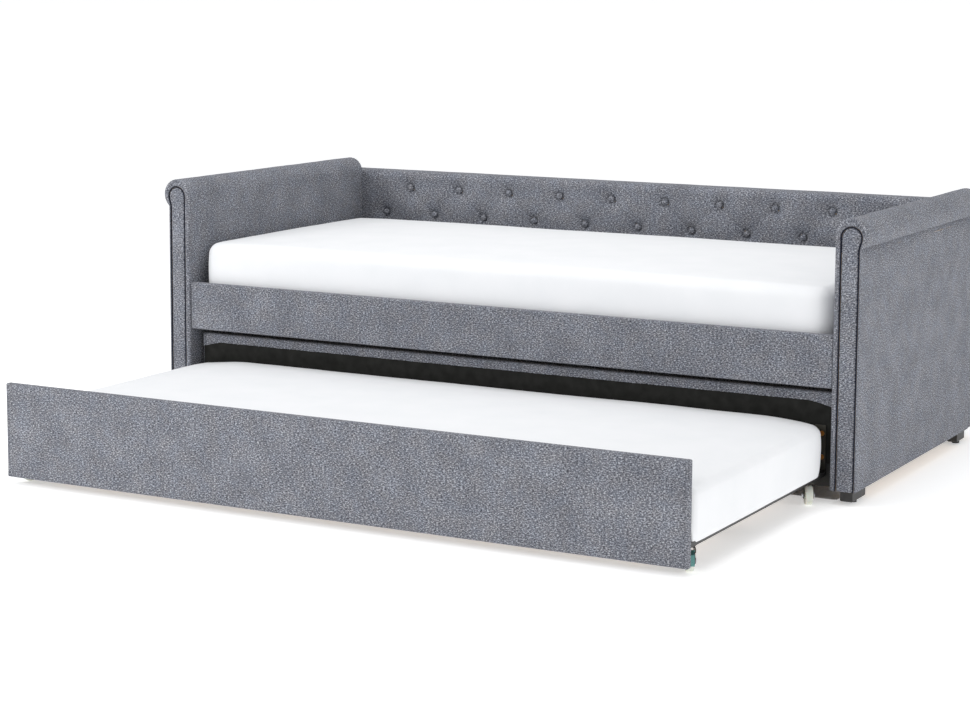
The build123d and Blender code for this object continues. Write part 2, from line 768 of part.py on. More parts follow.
def kingpin():
    """The rivet that holds the fork to its plate and lets it swivel."""
    head_top = crown_bottom - swivel_gap
    shank = rod(0, 0, head_top, kingpin_radius, plate_top - head_top, (0, 0, 1))
    head = rod(0, 0, head_top - kingpin_head_height, kingpin_head_radius,
               kingpin_head_height, (0, 0, 1))
    return head + shank


def caster_place(corner):
    """The swivel axis of a caster in X and Y, in the trundle's own frame."""
    x = -caster_x if corner.endswith("left") else caster_x
    y = front_caster_y if corner.startswith("front") else rear_caster_y
    return x, y


def write_casters():
    plates = []
    pins = []
    for corner, yaw in caster_yaw.items():
        x, y = caster_place(corner)
        place = Pos(x, y, 0) * Rot(0, 0, 90 - yaw)
        braked = corner.startswith("front")
        write(f"caster_fork_{corner}", place * (braked_fork() if braked else fork()), trundle_y)
        write(f"caster_wheel_{corner}", place * wheel(), trundle_y)
        write(f"caster_axle_{corner}", place * axle(), trundle_y)
        if braked:
            write(f"brake_lever_{corner}", place * brake_lever(), trundle_y)
        plates.append(Pos(x, y, 0) * plate_and_cup())
        pins.append(Pos(x, y, 0) * kingpin())
    write("caster_plates", plates, trundle_y)
    write("caster_kingpins", pins, trundle_y)


# ---- everything ------------------------------------------------------------------------
os.makedirs("parts", exist_ok=True)
arm_bolt_holes = [rail_bolt(y, z, bolt_clearance) for y, z in rail_bolt_places()]
write_arms(arm_bolt_holes)
write_backrest()
write_slat_base()
write_feet()
write("bed_mattress", mattress(bed_mattress, bed_mattress_front,
                               bed_slat_top + strap_thickness + soft_gap))
write_trundle_boards()
write_trundle_base()
write_casters()
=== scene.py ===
import math

import bpy
import numpy as np
from mathutils import Matrix, Vector, noise


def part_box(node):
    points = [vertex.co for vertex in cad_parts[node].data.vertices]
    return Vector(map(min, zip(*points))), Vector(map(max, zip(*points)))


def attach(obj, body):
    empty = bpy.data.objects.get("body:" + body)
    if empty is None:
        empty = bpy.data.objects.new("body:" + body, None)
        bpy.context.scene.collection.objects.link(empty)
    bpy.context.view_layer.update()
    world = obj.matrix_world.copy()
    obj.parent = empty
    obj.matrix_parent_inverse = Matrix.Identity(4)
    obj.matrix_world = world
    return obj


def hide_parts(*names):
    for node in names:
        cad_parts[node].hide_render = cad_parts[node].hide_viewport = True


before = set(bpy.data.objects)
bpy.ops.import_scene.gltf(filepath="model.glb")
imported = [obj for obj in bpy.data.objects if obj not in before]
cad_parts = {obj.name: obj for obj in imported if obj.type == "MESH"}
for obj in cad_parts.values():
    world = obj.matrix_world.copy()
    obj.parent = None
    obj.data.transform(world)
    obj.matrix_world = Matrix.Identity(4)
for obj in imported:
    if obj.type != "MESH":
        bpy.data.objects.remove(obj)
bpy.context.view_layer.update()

# A daybed with rolled arms and a tufted back, and a wheeled trundle pulled out in front.
# Metres, in the frame's own axes: +X along the bed, +Y to the backrest, +Z up.
mm = 0.001


# ---- places read from the frame -------------------------------------------------------
def low(node):
    return np.array(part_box(node)[0])


def high(node):
    return np.array(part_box(node)[1])


HX = high("front_rail_cover")[0]              # the arms' inner faces
ARM_FRONT = low("right_arm_cover")[1]
ARM_BACK = high("right_arm_cover")[1]
ARM_BOTTOM = low("right_arm_cover")[2]
ROLL_R = (high("right_arm_cover")[0] - HX) / 2
ROLL_Z = high("right_arm_cover")[2] - ROLL_R
SLAB = high("right_arm_outer_panel")[0] - HX  # thickness of an arm's straight part
SEAM_TURN = math.acos((SLAB - ROLL_R) / ROLL_R)
SEAM_Z = ROLL_Z - ROLL_R * math.sin(SEAM_TURN)
FACE_IN = low("right_arm_facing")[0] - HX
FACE_ARCH = high("right_arm_facing")[0] - HX  # widest, at the arch
ARCH_R = (FACE_ARCH - FACE_IN) / 2
ARCH_Z = high("right_arm_facing")[2] - ARCH_R
NECK_IN = 7 * mm                              # the facing is this much narrower below its arch
NECK_DROP = 33 * mm                           # height over which it narrows
FACE_OUT = FACE_ARCH - NECK_IN
NECK_Z = ARCH_Z - NECK_DROP
CHANNEL = 4.2 * mm                            # groove for the piping
PIPING_R = 1.6 * mm                           # cord pressed into the groove
PIPING_SINK = 0.7 * mm
REAR_CAP = 0.5 * mm                           # the arms' rear ends lie just past their cores
EDGE_R = 6 * mm                               # rounded front edge of an arm, inside and on the roll
PANEL_EDGE_R = 2.4 * mm                       # and on the outer panel
REAR_EDGE_R = 4 * mm
BUTTON_R = 10.5 * mm
LOW_BUTTONS = 11                              # in the lower row, one fewer in the upper


# ---- meshes ----------------------------------------------------------------------------
def mesh_object(name, verts, faces, loop_uvs=None):
    """A mesh object from points and faces, with a metric UV map where one is given."""
    data = bpy.data.meshes.new(name)
    data.from_pydata([tuple(map(float, v)) for v in verts], [], [tuple(map(int, f)) for f in faces])
    if loop_uvs is not None:
        layer = data.uv_layers.new(name="weave")
        layer.data.foreach_set("uv", np.asarray(loop_uvs, dtype=np.float32).ravel())
    data.polygons.foreach_set("use_smooth", [True] * len(data.polygons))
    data.update()
    obj = bpy.data.objects.new(name, data)
    bpy.context.scene.collection.objects.link(obj)
    return obj


def grid_object(name, points, uv, flip=False, ring=False):
    """A sheet from an array of points (rows, columns, 3). ring joins the last column to the first."""
    rows, cols = points.shape[:2]
    index = np.arange(rows * cols).reshape(rows, cols)
    i, j = np.meshgrid(np.arange(rows - 1), np.arange(cols if ring else cols - 1), indexing="ij")
    i, j = i.ravel(), j.ravel()
    j2 = (j + 1) % cols
    corners = [(i, j), (i + 1, j), (i + 1, j2), (i, j2)]
    if flip:
        corners = corners[::-1]
    faces = np.stack([index[a, b] for a, b in corners], axis=1)
    loop_uvs = np.stack([uv[a, b] for a, b in corners], axis=1).reshape(-1, 2)
    return mesh_object(name, points.reshape(-1, 3), faces, loop_uvs)


def wobble(point, size, seed):
    """Smooth noise from -1 to 1 at a point; size is the length of its waves."""
    return noise.noise(Vector(point) / size + Vector((seed, seed * 1.7, -seed)))


def stations(a, b, radius, step, extra=()):
    """Places along one edge of a box: close together in the rounded ends, then even."""
    turn = [radius * math.tan(math.radians(45 * k / 4)) for k in range(5)]
    count = max(1, round((b - a - 2 * radius) / step))
    inner = list(np.linspace(a + radius, b - radius, count + 1))
    ends = [a + radius - t for t in turn[1:]] + [b - radius + t for t in turn[1:]]
    return np.array(sorted(set(np.round(inner + ends + list(extra), 7))))


def rounded_box(name, lo, hi, radius, step, shape=None, extra=((), (), ())):
    """A closed box with rounded edges on an even net, each face mapped in metres."""
    axes = [stations(lo[k], hi[k], radius, step, extra[k]) for k in range(3)]
    count = [len(a) for a in axes]
    index = -np.ones(count, dtype=int)
    edge = np.zeros(count, dtype=bool)
    for k in range(3):
        for side in (0, -1):
            cut = [slice(None)] * 3
            cut[k] = side
            edge[tuple(cut)] = True
    where = np.argwhere(edge)
    index[edge] = np.arange(len(where))
    flat = np.stack([axes[k][where[:, k]] for k in range(3)], axis=1)
    inner = np.clip(flat, np.array(lo) + radius, np.array(hi) - radius)
    out = flat - inner
    length = np.linalg.norm(out, axis=1, keepdims=True)
    verts = inner + out / np.maximum(length, 1e-9) * radius
    if shape is not None:
        verts = shape(verts)
    faces, uvs = [], []
    for k in range(3):
        p, q = [(1, 2), (0, 2), (0, 1)][k]
        for side in (0, -1):
            i, j = np.meshgrid(np.arange(count[p] - 1), np.arange(count[q] - 1), indexing="ij")
            i, j = i.ravel(), j.ravel()
            corners = [(i, j), (i + 1, j), (i + 1, j + 1), (i, j + 1)]
            if (side == 0) == (k != 1):
                corners = corners[::-1]
            ids, uv = [], []
            for a, b in corners:
                at = [None] * 3
                at[k] = np.full(len(a), 0 if side == 0 else count[k] - 1)
                at[p], at[q] = a, b
                ids.append(index[at[0], at[1], at[2]])
                uv.append(np.stack([axes[p][a], axes[q][b]], axis=1))
            faces.append(np.stack(ids, axis=1))
            uvs.append(np.stack(uv, axis=1).reshape(-1, 2))
    return mesh_object(name, verts, np.concatenate(faces), np.concatenate(uvs))


def mirrored(obj, name):
    """The same piece on the other side of the bed."""
    copy = obj.copy()
    copy.data = obj.data.copy()
    copy.name = name
    copy.data.name = name
    copy.data.transform(Matrix.Scale(-1, 4, (1, 0, 0)))
    copy.data.flip_normals()
    bpy.context.scene.collection.objects.link(copy)
    return copy


def settle(obj, body, material, nodes=()):
    """Gives a piece its material, its body and the CAD nodes it stands for."""
    obj.data.materials.clear()
    obj.data.materials.append(material)
    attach(obj, body)
    if nodes:
        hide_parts(*nodes)
    return obj


# ---- materials --------------------------------------------------------------------------
class Tree:
    """A small helper that adds shader nodes to one material."""

    def __init__(self, name):
        self.material = bpy.data.materials.new(name)
        self.material.use_nodes = True
        self.nodes = self.material.node_tree.nodes
        self.links = self.material.node_tree.links
        self.shader = self.nodes["Principled BSDF"]

    def add(self, kind, inputs=None, **settings):
        node = self.nodes.new(kind)
        for key, value in settings.items():
            setattr(node, key, value)
        for key, value in (inputs or {}).items():
            self.put(node.inputs[key], value)
        return node

    def put(self, socket, value):
        if isinstance(value, bpy.types.NodeSocket):
            self.links.new(value, socket)
        else:
            socket.default_value = value

    def scaled(self, vector, scale):
        return self.add("ShaderNodeVectorMath", {0: vector, 1: scale}, operation="MULTIPLY").outputs[0]

    def noise(self, vector, scale, detail=2.0, rough=0.5):
        inputs = {"Vector": vector, "Scale": scale, "Detail": detail, "Roughness": rough}
        return self.add("ShaderNodeTexNoise", inputs).outputs["Fac"]

    def math(self, operation, a, b=0.0, c=0.0):
        return self.add("ShaderNodeMath", {0: a, 1: b, 2: c}, operation=operation).outputs[0]

    def mix(self, factor, a, b, blend="MIX"):
        node = self.add("ShaderNodeMix", data_type="RGBA", blend_type=blend)
        self.put(node.inputs["Factor"], factor)
        self.put(node.inputs[6], a)
        self.put(node.inputs[7], b)
        return node.outputs[2]

    def ramp(self, factor, stops):
        node = self.add("ShaderNodeValToRGB", {"Fac": factor})
        ramp = node.color_ramp
        while len(ramp.elements) < len(stops):
            ramp.elements.new(0.5)
        for element, (place, colour) in zip(ramp.elements, stops):
            element.position = place
            element.color = colour
        return node.outputs["Color"]

    def bump(self, height, strength, distance, normal=None):
        inputs = {"Height": height, "Strength": strength, "Distance": distance}
        node = self.add("ShaderNodeBump", inputs)
        if normal is not None:
            self.put(node.inputs["Normal"], normal)
        return node.outputs["Normal"]

    def finish(self, colour, roughness, normal, **constants):
        self.put(self.shader.inputs["Base Color"], colour)
        self.put(self.shader.inputs["Roughness"], roughness)
        self.put(self.shader.inputs["Normal"], normal)
        for key, value in constants.items():
            self.shader.inputs[key.replace("_", " ")].default_value = value
        return self.material


def heather(name, dark, middle, light):
    """Melange woven fabric: light and dark yarns in both directions, on a map in metres."""
    t = Tree(name)
    uv = t.add("ShaderNodeUVMap", uv_map="weave").outputs["UV"]
    weft = t.noise(t.scaled(uv, (165.0, 420.0, 1.0)), 1.0, 2.5, 0.62)
    warp = t.noise(t.scaled(uv, (420.0, 240.0, 1.0)), 1.0, 2.0, 0.6)
    fine = t.noise(t.scaled(uv, (900.0, 1300.0, 1.0)), 1.0, 1.0, 0.5)
    patch = t.noise(t.scaled(uv, (11.0, 11.0, 1.0)), 1.0, 3.0, 0.5)
    pick = t.add("ShaderNodeTexChecker", {"Vector": uv, "Scale": 620.0}).outputs["Fac"]
    blend = t.math("ADD", t.math("MULTIPLY", weft, 0.52), t.math("MULTIPLY", warp, 0.30))
    blend = t.math("ADD", blend, t.math("MULTIPLY", fine, 0.12))
    blend = t.math("ADD", blend, t.math("MULTIPLY", patch, 0.06))
    colour = t.ramp(blend, [(0.40, dark), (0.48, middle), (0.515, middle), (0.59, light)])
    hue = t.noise(t.scaled(uv, (26.0, 26.0, 1.0)), 1.0, 2.0, 0.5)
    tint = t.ramp(hue, [(0.35, (0.97, 1.0, 1.05, 1)), (0.65, (1.01, 1.0, 1.0, 1))])
    shade = t.mix(1.0, colour, tint, "MULTIPLY")
    weave = t.math("ADD", pick, t.math("MULTIPLY", blend, 3.0))
    normal = t.bump(weave, 0.30, 0.0006)
    normal = t.bump(patch, 0.08, 0.002, normal)
    rough = t.math("MULTIPLY_ADD", fine, 0.15, 0.82)
    return t.finish(shade, rough, normal, Sheen_Weight=0.06, Sheen_Roughness=0.6,
                    Specular_IOR_Level=0.15)


def cord_cloth(name, dark, light):
    """Tightly wrapped fabric of the piping, with a slanting twill."""
    t = Tree(name)
    place = t.add("ShaderNodeTexCoord").outputs["Object"]
    twill = t.add("ShaderNodeTexWave", {"Vector": place, "Scale": 260.0, "Distortion": 1.5},
                  wave_type="BANDS", bands_direction="DIAGONAL").outputs["Fac"]
    fleck = t.noise(place, 700.0)
    colour = t.ramp(t.math("MULTIPLY_ADD", twill, 0.4, t.math("MULTIPLY", fleck, 0.6)),
                    [(0.3, dark), (0.75, light)])
    return t.finish(colour, t.math("MULTIPLY_ADD", fleck, 0.15, 0.75), t.bump(twill, 0.3, 0.0003),
                    Specular_IOR_Level=0.25)


def knit(name):
    """Smooth white mattress knit with a fine even rib."""
    t = Tree(name)
    place = t.add("ShaderNodeTexCoord").outputs["Object"]
    rib = t.add("ShaderNodeTexVoronoi", {"Vector": t.scaled(place, (500.0, 350.0, 500.0)),
                                         "Scale": 1.0}).outputs["Distance"]
    soft = t.noise(place, 9.0, 3.0)
    colour = t.ramp(soft, [(0.3, (0.82, 0.83, 0.845, 1)), (0.7, (0.85, 0.855, 0.87, 1))])
    normal = t.bump(rib, 0.15, 0.0003)
    normal = t.bump(soft, 0.25, 0.004, normal)
    return t.finish(colour, t.math("MULTIPLY_ADD", rib, 0.1, 0.78), normal, Sheen_Weight=0.08,
                    Specular_IOR_Level=0.25)


def speckled(name, colour, other, roughness, scale, bump=0.15, depth=0.0004, **constants):
    """Paint, plastic, plating or felt: two tones, an uneven gloss and a fine surface."""
    t = Tree(name)
    place = t.add("ShaderNodeTexCoord").outputs["Object"]
    grain = t.noise(place, scale, 3.0, 0.6)
    cloud = t.noise(place, scale / 25.0, 2.0)
    shade = t.mix(t.math("MULTIPLY_ADD", cloud, 1.6, -0.3), colour, other)
    rough = t.math("MULTIPLY_ADD", grain, 0.2, roughness - 0.1)
    return t.finish(shade, rough, t.bump(grain, bump, depth), **constants)


def timber(name, pale, deep, run):
    """Planed softwood or birch: long grain lines along one axis, and soft colour bands."""
    t = Tree(name)
    place = t.add("ShaderNodeTexCoord").outputs["Object"]
    stretch = [70.0, 70.0, 70.0]
    stretch[run] = 2.2
    grain = t.noise(t.scaled(place, tuple(stretch)), 1.0, 4.0, 0.6)
    pore = t.noise(t.scaled(place, tuple(s * 6 for s in stretch)), 1.0, 2.0)
    band = t.noise(place, 2.0)
    tone = t.math("MULTIPLY_ADD", band, 0.35, t.math("MULTIPLY", grain, 0.65))
    colour = t.ramp(tone, [(0.3, pale), (0.7, deep)])
    rough = t.math("MULTIPLY_ADD", pore, 0.2, 0.5)
    return t.finish(colour, rough, t.bump(pore, 0.2, 0.0004))


FABRIC = heather("heather_fabric", (0.022, 0.023, 0.031, 1), (0.150, 0.154, 0.174, 1),
                 (0.52, 0.53, 0.56, 1))
PIPING = cord_cloth("piping_cloth", (0.006, 0.008, 0.018, 1), (0.020, 0.023, 0.038, 1))
KNIT = knit("mattress_knit")
LINING = speckled("black_lining", (0.012, 0.012, 0.011, 1), (0.028, 0.028, 0.026, 1), 0.92, 900.0,
                  0.4, 0.0005, Specular_IOR_Level=0.15)
BLACK_PAINT = speckled("black_paint", (0.010, 0.010, 0.010, 1), (0.022, 0.021, 0.020, 1), 0.45,
                       350.0, 0.2)
PLASTIC = speckled("black_plastic", (0.020, 0.020, 0.020, 1), (0.036, 0.035, 0.034, 1), 0.5, 1200.0,
                   0.3, 0.0003)
ZINC = speckled("bright_zinc", (0.60, 0.62, 0.65, 1), (0.44, 0.46, 0.49, 1), 0.34, 500.0, 0.1,
                Metallic=1.0)
DARK_STEEL = speckled("dark_steel", (0.045, 0.042, 0.034, 1), (0.09, 0.085, 0.07, 1), 0.42, 400.0,
                      0.2, Metallic=0.5)
YELLOW_ZINC = speckled("yellow_zinc", (0.85, 0.40, 0.08, 1), (0.80, 0.25, 0.06, 1), 0.32, 450.0,
                       0.1, Metallic=0.9)
NYLON = speckled("nylon", (0.80, 0.81, 0.74, 1), (0.72, 0.74, 0.66, 1), 0.42, 300.0, 0.08,
                 Subsurface_Weight=0.1, Subsurface_Scale=0.003)
LEVER = speckled("lever_plating", (0.10, 0.30, 0.28, 1), (0.22, 0.42, 0.40, 1), 0.3, 260.0, 0.15,
                 Metallic=0.7)
TAPE = speckled("webbing_tape", (0.60, 0.59, 0.55, 1), (0.50, 0.49, 0.45, 1), 0.85, 1400.0, 0.4)
SLAT_WOOD = timber("slat_wood", (0.62, 0.44, 0.26, 1), (0.46, 0.29, 0.15, 1), 1)
FRAME_WOOD = timber("frame_wood", (0.58, 0.42, 0.26, 1), (0.40, 0.27, 0.15, 1), 0)


def paint_cad(material, *names):
    """Gives a material to CAD nodes that show as they are."""
    for name in names:
        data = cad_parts[name].data
        data.materials.clear()
        data.materials.append(material)


CASTERS = ("front_left", "front_right", "rear_left", "rear_right")
paint_cad(FRAME_WOOD, "left_arm_frame", "right_arm_frame", "left_arm_panel", "right_arm_panel",
          "arm_roll_cores", "backrest_frame", "backrest_panel", "front_rail_board",
          "trundle_front_board", "trundle_rear_board")
paint_cad(SLAT_WOOD, "bed_slats", "trundle_slats")
paint_cad(BLACK_PAINT, "slat_ledgers", "centre_beam", "trundle_rear_rail", "trundle_side_rails",
          "trundle_ledgers", "trundle_centre_rail")
paint_cad(PLASTIC, "feet", "foot_glides")
paint_cad(ZINC, "rail_brackets", "rail_bolts", "caster_kingpins", "caster_plates",
          *[f"caster_axle_{c}" for c in CASTERS])
paint_cad(DARK_STEEL, "trundle_corner_brackets", *[f"caster_fork_{c}" for c in CASTERS])
paint_cad(YELLOW_ZINC, "trundle_corner_bolts")
paint_cad(NYLON, *[f"caster_wheel_{c}" for c in CASTERS])
paint_cad(LEVER, "brake_lever_front_left", "brake_lever_front_right")
paint_cad(TAPE, "bed_slat_straps", "trundle_slat_straps")


# ---- arms -------------------------------------------------------------------------------
# An arm's outline and its facing's outline are walked together: up the inner edge, over the
# roll, in under it and down the outer edge. Each stretch has its own number of steps.
UP_STEPS = 34
ROLL_STEPS = 88
NECK_STEPS = 12
DOWN_STEPS = 34
PLEAT_STEPS = 9.0                             # steps from one sewn gather to the next


def keyhole(grow):
    """The facing's outline, grown outwards, as (across, height) points."""
    points = []
    for k in range(UP_STEPS):
        points.append((FACE_IN - grow, ARM_BOTTOM + (ARCH_Z - ARM_BOTTOM) * k / UP_STEPS))
    centre = FACE_IN + ARCH_R
    for k in range(ROLL_STEPS):
        turn = math.pi * (1 - k / ROLL_STEPS)
        points.append((centre + (ARCH_R + grow) * math.cos(turn),
                       ARCH_Z + (ARCH_R + grow) * math.sin(turn)))
    for k in range(NECK_STEPS):
        part = k / NECK_STEPS
        width = FACE_ARCH + (FACE_OUT - FACE_ARCH) * (1 - math.cos(math.pi * part)) / 2
        points.append((width + grow, ARCH_Z + (NECK_Z - ARCH_Z) * part))
    for k in range(DOWN_STEPS + 1):
        points.append((FACE_OUT + grow, NECK_Z + (ARM_BOTTOM - NECK_Z) * k / DOWN_STEPS))
    return np.array(points)


def arm_outline():
    """The arm's outline as points, outward directions and the edge radius at each point."""
    points, normals, radii = [], [], []
    for k in range(UP_STEPS):
        points.append((0.0, ARM_BOTTOM + (ROLL_Z - ARM_BOTTOM) * k / UP_STEPS))
        normals.append((-1.0, 0.0))
        radii.append(EDGE_R)
    for k in range(ROLL_STEPS + NECK_STEPS):
        if k < ROLL_STEPS:
            turn = math.pi * (1 - k / ROLL_STEPS)
        else:
            turn = -SEAM_TURN * (k - ROLL_STEPS) / NECK_STEPS
        points.append((ROLL_R + ROLL_R * math.cos(turn), ROLL_Z + ROLL_R * math.sin(turn)))
        normals.append((math.cos(turn), math.sin(turn)))
        past_roll = max(0, k - ROLL_STEPS) / NECK_STEPS
        radii.append(EDGE_R * (1 - past_roll / 2))
    for k in range(DOWN_STEPS + 1):
        points.append((SLAB, SEAM_Z + (ARM_BOTTOM - SEAM_Z) * k / DOWN_STEPS))
        normals.append((1.0, 0.0))
        radii.append(PANEL_EDGE_R)
    return np.array(points), np.array(normals), np.array(radii)


def smooth_step(value, start, end):
    """Rises smoothly from 0 at start to 1 at end."""
    part = np.clip((value - start) / (end - start), 0, 1)
    return part * part * (3 - 2 * part)


def arm_rows():
    """Rows of points from the piping channel, over the front edge, back along the arm and
    over its rear end. Also gives the outward directions and the number of rows at the front."""
    outline, normal, radius = arm_outline()
    inner = keyhole(CHANNEL)
    inset = outline - normal * radius[:, None]
    rows = []

    def row(flat, y, puff=None):
        depth = np.full(len(flat), ARM_FRONT + y)
        if puff is not None:
            depth -= puff
        rows.append(np.column_stack([HX + flat[:, 0], depth, flat[:, 1]]))

    order = np.arange(len(outline))
    arch = (order >= UP_STEPS) & (order < UP_STEPS + ROLL_STEPS)
    pleat = np.where(arch, np.cos((order - UP_STEPS) * math.tau / PLEAT_STEPS), 0)
    row(inner, 5 * mm)
    row(inner, 1.8 * mm)
    for part, puff in ((0.06, 0.0), (0.2, 0.6), (0.4, 1.0), (0.6, 1.0), (0.8, 0.8), (1.0, 0.0)):
        height = puff * mm * (0.9 + 0.9 * pleat)
        row(inner + (inset - inner) * part, 0.6 * mm * (1 - part), height)
    for step in range(1, 6):
        turn = math.radians(90) * step / 5
        out = inset + normal * (radius * math.sin(turn))[:, None]
        rows.append(np.column_stack([HX + out[:, 0], ARM_FRONT + radius * (1 - math.cos(turn)),
                                     out[:, 1]]))
    front_rows = len(rows)
    length = ARM_BACK - ARM_FRONT
    rear_start = length - REAR_EDGE_R - 1 * mm
    for y in np.linspace(12 * mm, rear_start, 64):
        row(outline, y)
    for step in range(1, 5):
        turn = math.radians(90) * step / 4
        row(outline - normal * REAR_EDGE_R * (1 - math.cos(turn)),
            rear_start + (length - rear_start) * math.sin(turn))
    on_roll = (order >= UP_STEPS) & (order < UP_STEPS + ROLL_STEPS + NECK_STEPS)
    spine = np.column_stack([np.where(on_roll, ROLL_R, SLAB / 2),
                             np.where(on_roll, ROLL_Z, np.minimum(outline[:, 1], ROLL_Z))])
    rim = outline - normal * REAR_EDGE_R
    for part in (0.35, 0.7, 1.0):
        row(rim + (spine - rim) * part, length + REAR_CAP)
    return np.array(rows), normal, front_rows


def relief(points, normal):
    """Soft unevenness of padding and stretched cloth, along each point's outward direction. The
    inner face also swells a little between the mattress and the roll."""
    length = ARM_BACK - ARM_FRONT
    out = points.copy()
    for r in range(points.shape[0]):
        y = points[r, :, 1] - ARM_FRONT
        inside = smooth_step(y, 20 * mm, 120 * mm)
        inside *= 1 - smooth_step(y, length - 100 * mm, length - 15 * mm)
        for c in range(points.shape[1]):
            x, yy, z = points[r, c]
            above_foot = smooth_step(z, 60 * mm, 140 * mm)
            swell = 0.0
            if c < UP_STEPS:
                swell = 3.0 * mm * smooth_step(z, 420 * mm, 520 * mm)
                swell *= 1 - smooth_step(z, 620 * mm, 710 * mm)
            ripple = 1.1 * mm * wobble((x, yy, z), 0.16, 3.1) + 0.5 * mm * wobble((x, yy, z), 0.05, 8.4)
            shift = (swell + ripple) * inside[c] * above_foot
            out[r, c, 0] += normal[c, 0] * shift
            out[r, c, 2] += normal[c, 1] * shift
    return out


def lengths(points):
    """Running length along the first axis of an array of points."""
    steps = np.linalg.norm(np.diff(points, axis=0), axis=-1)
    return np.concatenate([np.zeros((1,) + steps.shape[1:]), np.cumsum(steps, axis=0)])


def make_arms():
    """The arm's cloth as two pieces, drawn in along the seam under the roll."""
    rows, normal, front_rows = arm_rows()
    seam = UP_STEPS + ROLL_STEPS + NECK_STEPS
    rows = relief(rows, normal)
    around = lengths(arm_outline()[0])
    along = lengths(rows).mean(axis=1)
    uv = np.stack(np.meshgrid(along, around, indexing="ij"), axis=-1)
    pull = np.zeros(rows.shape[1])
    pull[seam] = 9.0 * mm
    pull[seam - 1] = 4.5 * mm
    pull[seam - 2] = 1.2 * mm
    pull[seam + 1] = 0.5 * mm
    rows[front_rows:, :, 0] -= normal[:, 0] * pull
    rows[front_rows:, :, 2] -= normal[:, 1] * pull
    cover = grid_object("right_arm_upholstery", rows[:, :seam + 1], uv[:, :seam + 1], flip=True)
    panel = grid_object("right_arm_side_panel", rows[:, seam:], uv[:, seam:], flip=True)
    return cover, panel


def make_facing():
    """The crowned keyhole panel on the arm's front, drawn from its edge to its middle line."""
    edge = keyhole(-0.3 * mm)
    half = (FACE_OUT - FACE_IN) / 2
    blend = smooth_step(edge[:, 1], NECK_Z - 80 * mm, NECK_Z)
    middle = np.column_stack([FACE_IN + half + blend * (ARCH_R - half),
                              np.clip(edge[:, 1], ARM_BOTTOM, ARCH_Z)])
    rows = []
    for part, depth in ((0.0, 5.0), (0.0, 2.2), (0.05, 0.9), (0.14, 0.1), (0.3, -0.6),
                        (0.55, -1.0), (0.8, -1.2), (1.0, -1.3)):
        flat = edge + (middle - edge) * part
        rows.append(np.column_stack([HX + flat[:, 0], np.full(len(flat), ARM_FRONT + depth * mm),
                                     flat[:, 1]]))
    rows = np.array(rows)
    for point in rows[2:].reshape(-1, 3):
        point[1] += 0.5 * mm * wobble(point, 0.06, 5.0)
    uv = np.stack([rows[..., 0], rows[..., 2]], axis=-1)
    return grid_object("right_arm_front_facing", rows, uv)


def tube(name, path, radius):
    """A round cord along a path that lies in the plane y = constant."""
    sides = 10
    across = np.array((0, 1, 0))
    tangent = np.gradient(path, axis=0)
    tangent /= np.linalg.norm(tangent, axis=1, keepdims=True)
    side = np.cross(tangent, across)
    turn = np.linspace(0, math.tau, sides, endpoint=False)
    rows = (path[:, None] + radius * (np.cos(turn)[None, :, None] * side[:, None]
            + np.sin(turn)[None, :, None] * across[None, None]))
    run = lengths(path)
    uv = np.stack(np.meshgrid(run, turn * radius, indexing="ij"), axis=-1)
    return grid_object(name, rows, uv, ring=True)


def make_piping():
    """The cord in the groove round the facing."""
    flat = keyhole(CHANNEL / 2)
    path = np.column_stack([HX + flat[:, 0], np.full(len(flat), ARM_FRONT + PIPING_SINK), flat[:, 1]])
    return tube("right_arm_front_piping", path, PIPING_R)


def dress_arms():
    """The right arm's pieces and their mirror images."""
    cover, panel = make_arms()
    pieces = [
        (cover, FABRIC, "upholstery", "arm_cover"),
        (panel, FABRIC, "upholstery", "arm_outer_panel"),
        (make_facing(), FABRIC, "upholstery", "arm_facing"),
        (make_piping(), PIPING, "piping", "arm_piping"),
    ]
    for piece, material, slot, node in pieces:
        other = mirrored(piece, piece.name.replace("right", "left"))
        for obj, side in ((piece, "right"), (other, "left")):
            settle(obj, "daybed", material, [f"{side}_{node}"])


# ---- boards wrapped in cloth --------------------------------------------------------------
def wrapped_board(name, lo, hi, radius, seed, step=24 * mm, seams=()):
    """A board folded in thin padding and cloth, its rear nearly flat. seams are X places of sewn
    lines on its front."""
    near = [s + d * mm for s in seams for d in (-3.0, -1.5, -0.6, 0.0, 0.6, 1.5, 3.0)]
    middle = (np.array(lo) + np.array(hi)) / 2
    ripple = 0.45 * mm

    def shape(verts):
        out = verts.copy()
        for v in out:
            wave = ripple * wobble(v, 0.22, seed) + ripple * 0.5 * wobble(v, 0.07, seed + 4)
            side = 0.25 if v[1] > middle[1] else -1.0
            if lo[2] + 2 * radius < v[2] < hi[2] - 2 * radius:
                v[1] += side * (wave - ripple)
            if v[1] < middle[1]:
                for s in seams:
                    v[1] += 1.5 * mm * math.exp(-((v[0] - s) / (1.2 * mm)) ** 2)
        return out

    return rounded_box(name, lo, hi, radius, step, shape, (near, (), ()))


def make_rail():
    """The front rail's padded cloth, which closes just behind its board."""
    lo, hi = low("front_rail_cover"), high("front_rail_cover")
    hi[1] = high("front_rail_board")[1] + 1.5 * mm
    lo[0] += 0.6 * mm
    hi[0] -= 0.6 * mm
    rail = wrapped_board("front_rail_upholstery", lo, hi, 5 * mm, 2.0)
    settle(rail, "daybed", FABRIC, ["front_rail_cover"])


